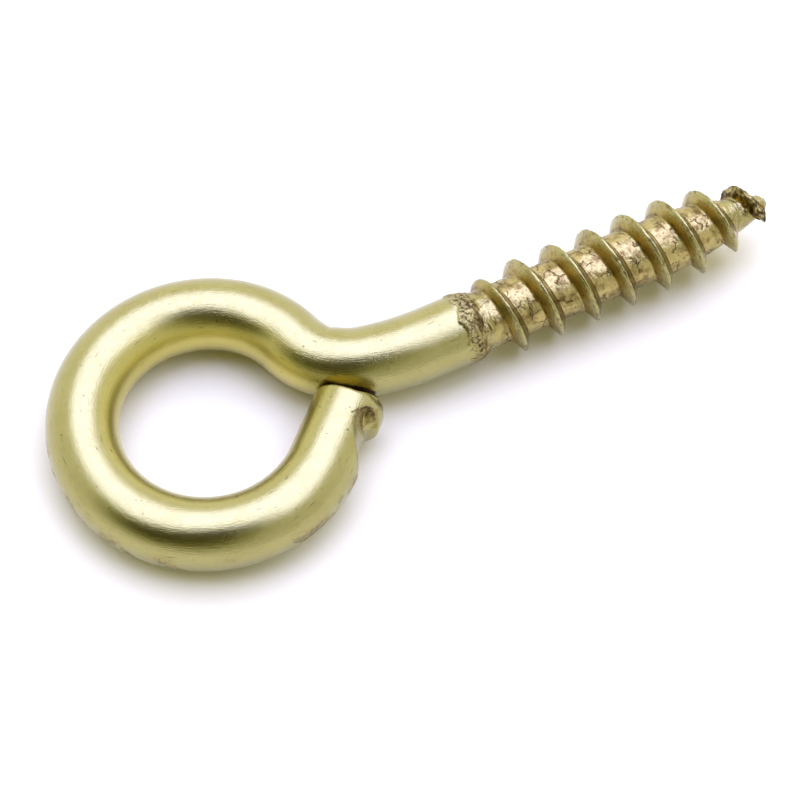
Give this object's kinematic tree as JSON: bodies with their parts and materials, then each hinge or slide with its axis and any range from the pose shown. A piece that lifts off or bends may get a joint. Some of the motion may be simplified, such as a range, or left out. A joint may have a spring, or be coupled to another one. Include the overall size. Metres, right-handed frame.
{
  "type": "screw eye",
  "caption": "Wire bent into a closed round eye on a shank with a coarse right-hand wood thread, driven into timber to hold a cord, hook, chain or wire.",
  "frame": {"origin": "middle of the eye, on the wire's centre plane", "axes": "+X along the shank from the eye to the tip, +Z along the axis of the eye, which points up as the screw eye lies flat, +Y to the side that the neck bends over from"},
  "size_m": [0.0428, 0.0176, 0.005],
  "materials": {
    "screw_eye": "satin electroplated brass over steel wire, worn to a dull beige in the thread"
  },
  "bodies": {
    "root": {"screw_eye": "screw_eye"}
  },
  "joints": []
}
